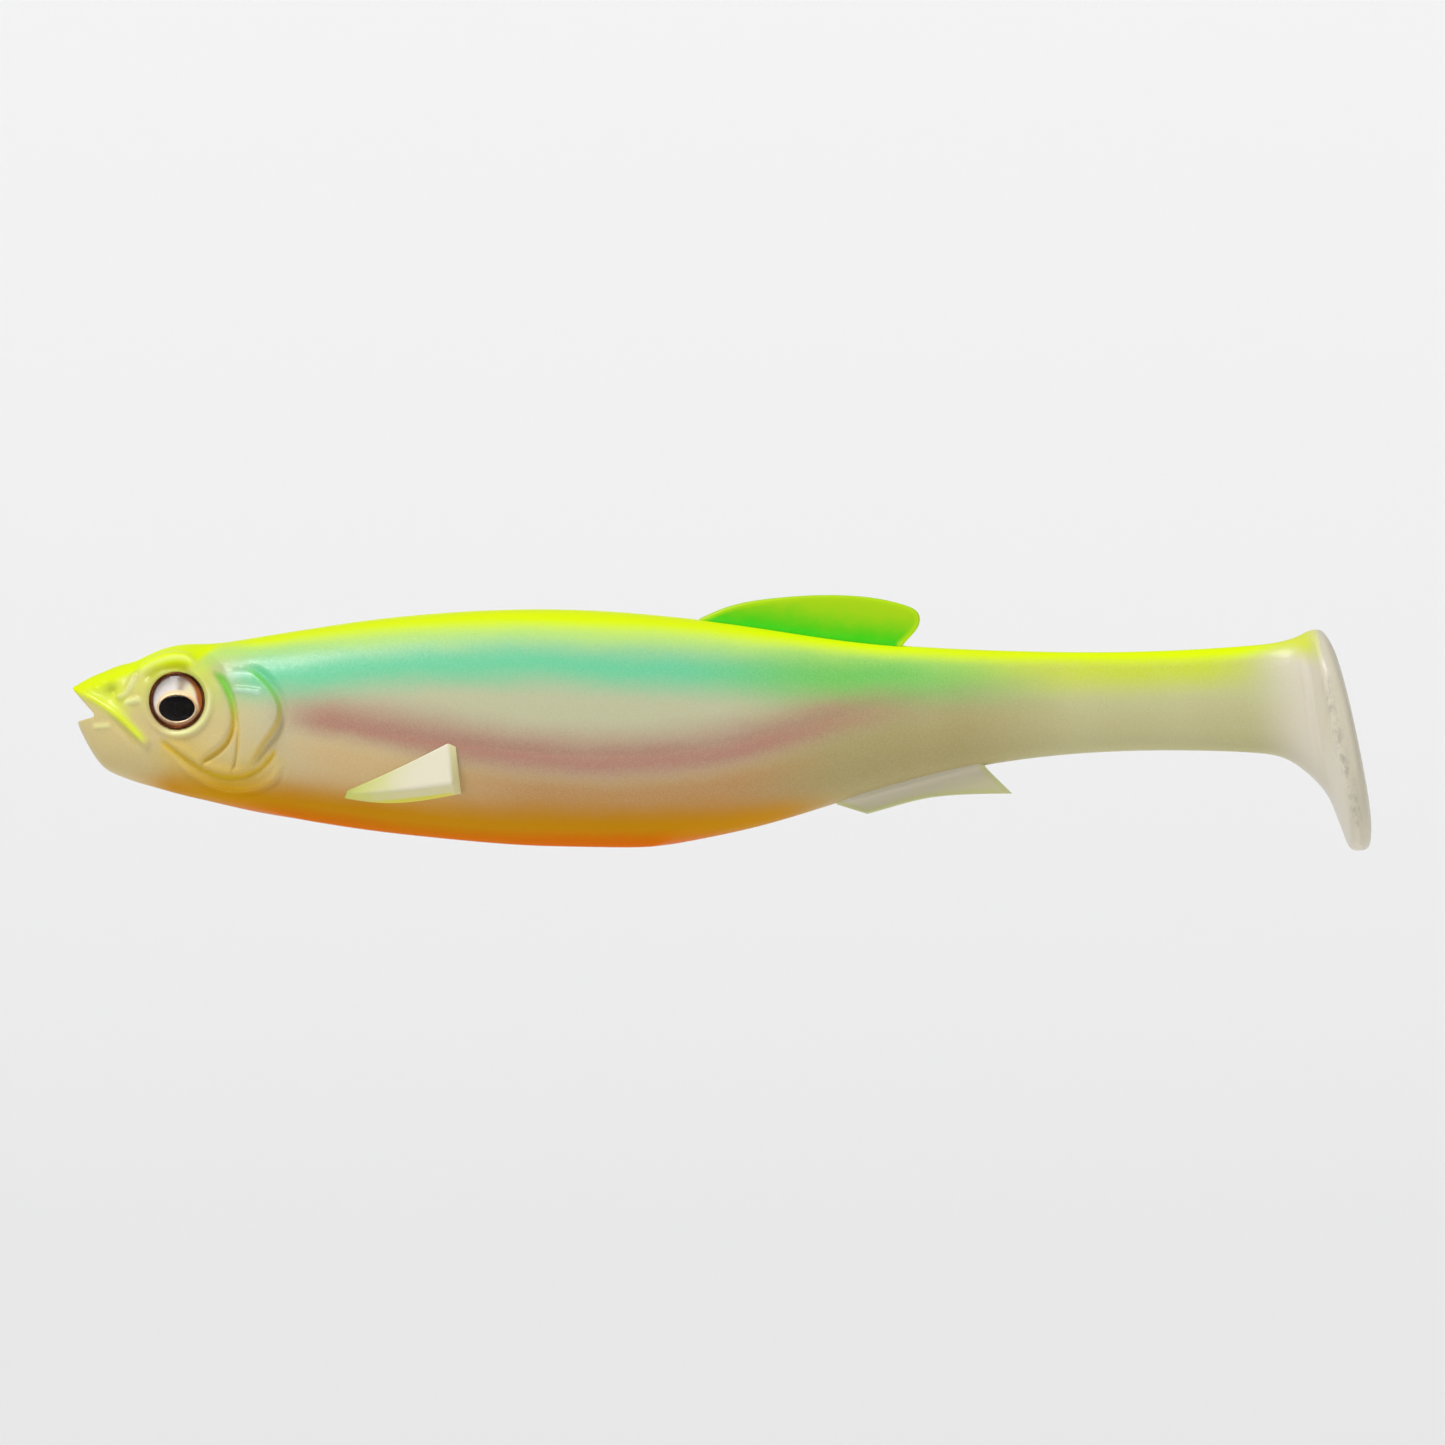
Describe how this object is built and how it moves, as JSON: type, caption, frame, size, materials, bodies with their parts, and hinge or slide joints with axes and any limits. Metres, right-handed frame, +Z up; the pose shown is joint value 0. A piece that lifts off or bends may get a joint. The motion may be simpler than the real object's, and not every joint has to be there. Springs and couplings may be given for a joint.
{
  "type": "swimbait",
  "caption": "Soft vinyl paddle-tail swimbait with domed eyes, a belly slot for the hook, flexing fins, and a trunk, tail stem and paddle that swing from side to side.",
  "frame": {"origin": "the mouth's corner on the centre plane, the point of the nose where a bait is rigged", "axes": "+X from the nose to the tail, +Y to the fish's right side, +Z up towards the dorsal fin"},
  "size_m": [0.1524, 0.021, 0.0299],
  "materials": {
    "painted_vinyl": "satin pearl, chartreuse back and orange belly sprayed on",
    "pearl_vinyl": "satin, translucent pearl",
    "green_vinyl": "satin, green over chartreuse",
    "eye_cup": "metallised copper brown",
    "eye_foil": "bright foil",
    "eye_pupil": "gloss black",
    "eye_lens": "clear polished resin"
  },
  "bodies": {
    "head_and_trunk": {"front_body": "painted_vinyl", "left_pectoral_fin": "pearl_vinyl", "right_pectoral_fin": "pearl_vinyl", "left_eye_cup": "eye_cup", "left_eye_foil": "eye_foil", "left_eye_pupil": "eye_pupil", "left_eye_lens": "eye_lens", "right_eye_cup": "eye_cup", "right_eye_foil": "eye_foil", "right_eye_pupil": "eye_pupil", "right_eye_lens": "eye_lens"},
    "rear_trunk": {"rear_body": "painted_vinyl"},
    "stem_front": {"tail_stem_front": "pearl_vinyl"},
    "stem_rear": {"tail_stem_rear": "pearl_vinyl"},
    "paddle": {"tail_paddle": "pearl_vinyl"},
    "dorsal": {"dorsal_fin": "green_vinyl"},
    "anal": {"anal_fin": "pearl_vinyl"}
  },
  "joints": [
    {"name": "body_bend", "type": "hinge", "parent": "head_and_trunk", "child": "rear_trunk", "pos_m": [0.0695, 0, 0], "axis": [0, 0, 1], "range_deg": [-10, 10], "stiffness_Nm_per_rad": 0.041},
    {"name": "stem_front_bend", "type": "hinge", "parent": "rear_trunk", "child": "stem_front", "pos_m": [0.109, 0, 0], "axis": [0, 0, 1], "range_deg": [-20, 20], "stiffness_Nm_per_rad": 0.0028},
    {"name": "stem_rear_bend", "type": "hinge", "parent": "stem_front", "child": "stem_rear", "pos_m": [0.121, 0, 0], "axis": [0, 0, 1], "range_deg": [-20, 20], "stiffness_Nm_per_rad": 0.0015},
    {"name": "paddle_kick", "type": "hinge", "parent": "stem_rear", "child": "paddle", "pos_m": [0.133, 0, 0], "axis": [0, 0, 1], "range_deg": [-30, 30], "stiffness_Nm_per_rad": 0.0014},
    {"name": "dorsal_fin_flex", "type": "hinge", "parent": "rear_trunk", "child": "dorsal", "pos_m": [0.08275, 0, 0.00958], "axis": [0.9913, 0, -0.1318], "range_deg": [-35, 35], "stiffness_Nm_per_rad": 0.00033},
    {"name": "anal_fin_flex", "type": "hinge", "parent": "rear_trunk", "child": "anal", "pos_m": [0.0956, 0, -0.0084], "axis": [0.966, 0, 0.2584], "range_deg": [-35, 35], "stiffness_Nm_per_rad": 0.0002}
  ],
  "couplings": [
    {"joint": "stem_rear_bend", "follows": "stem_front_bend", "ratio": 1}
  ]
}
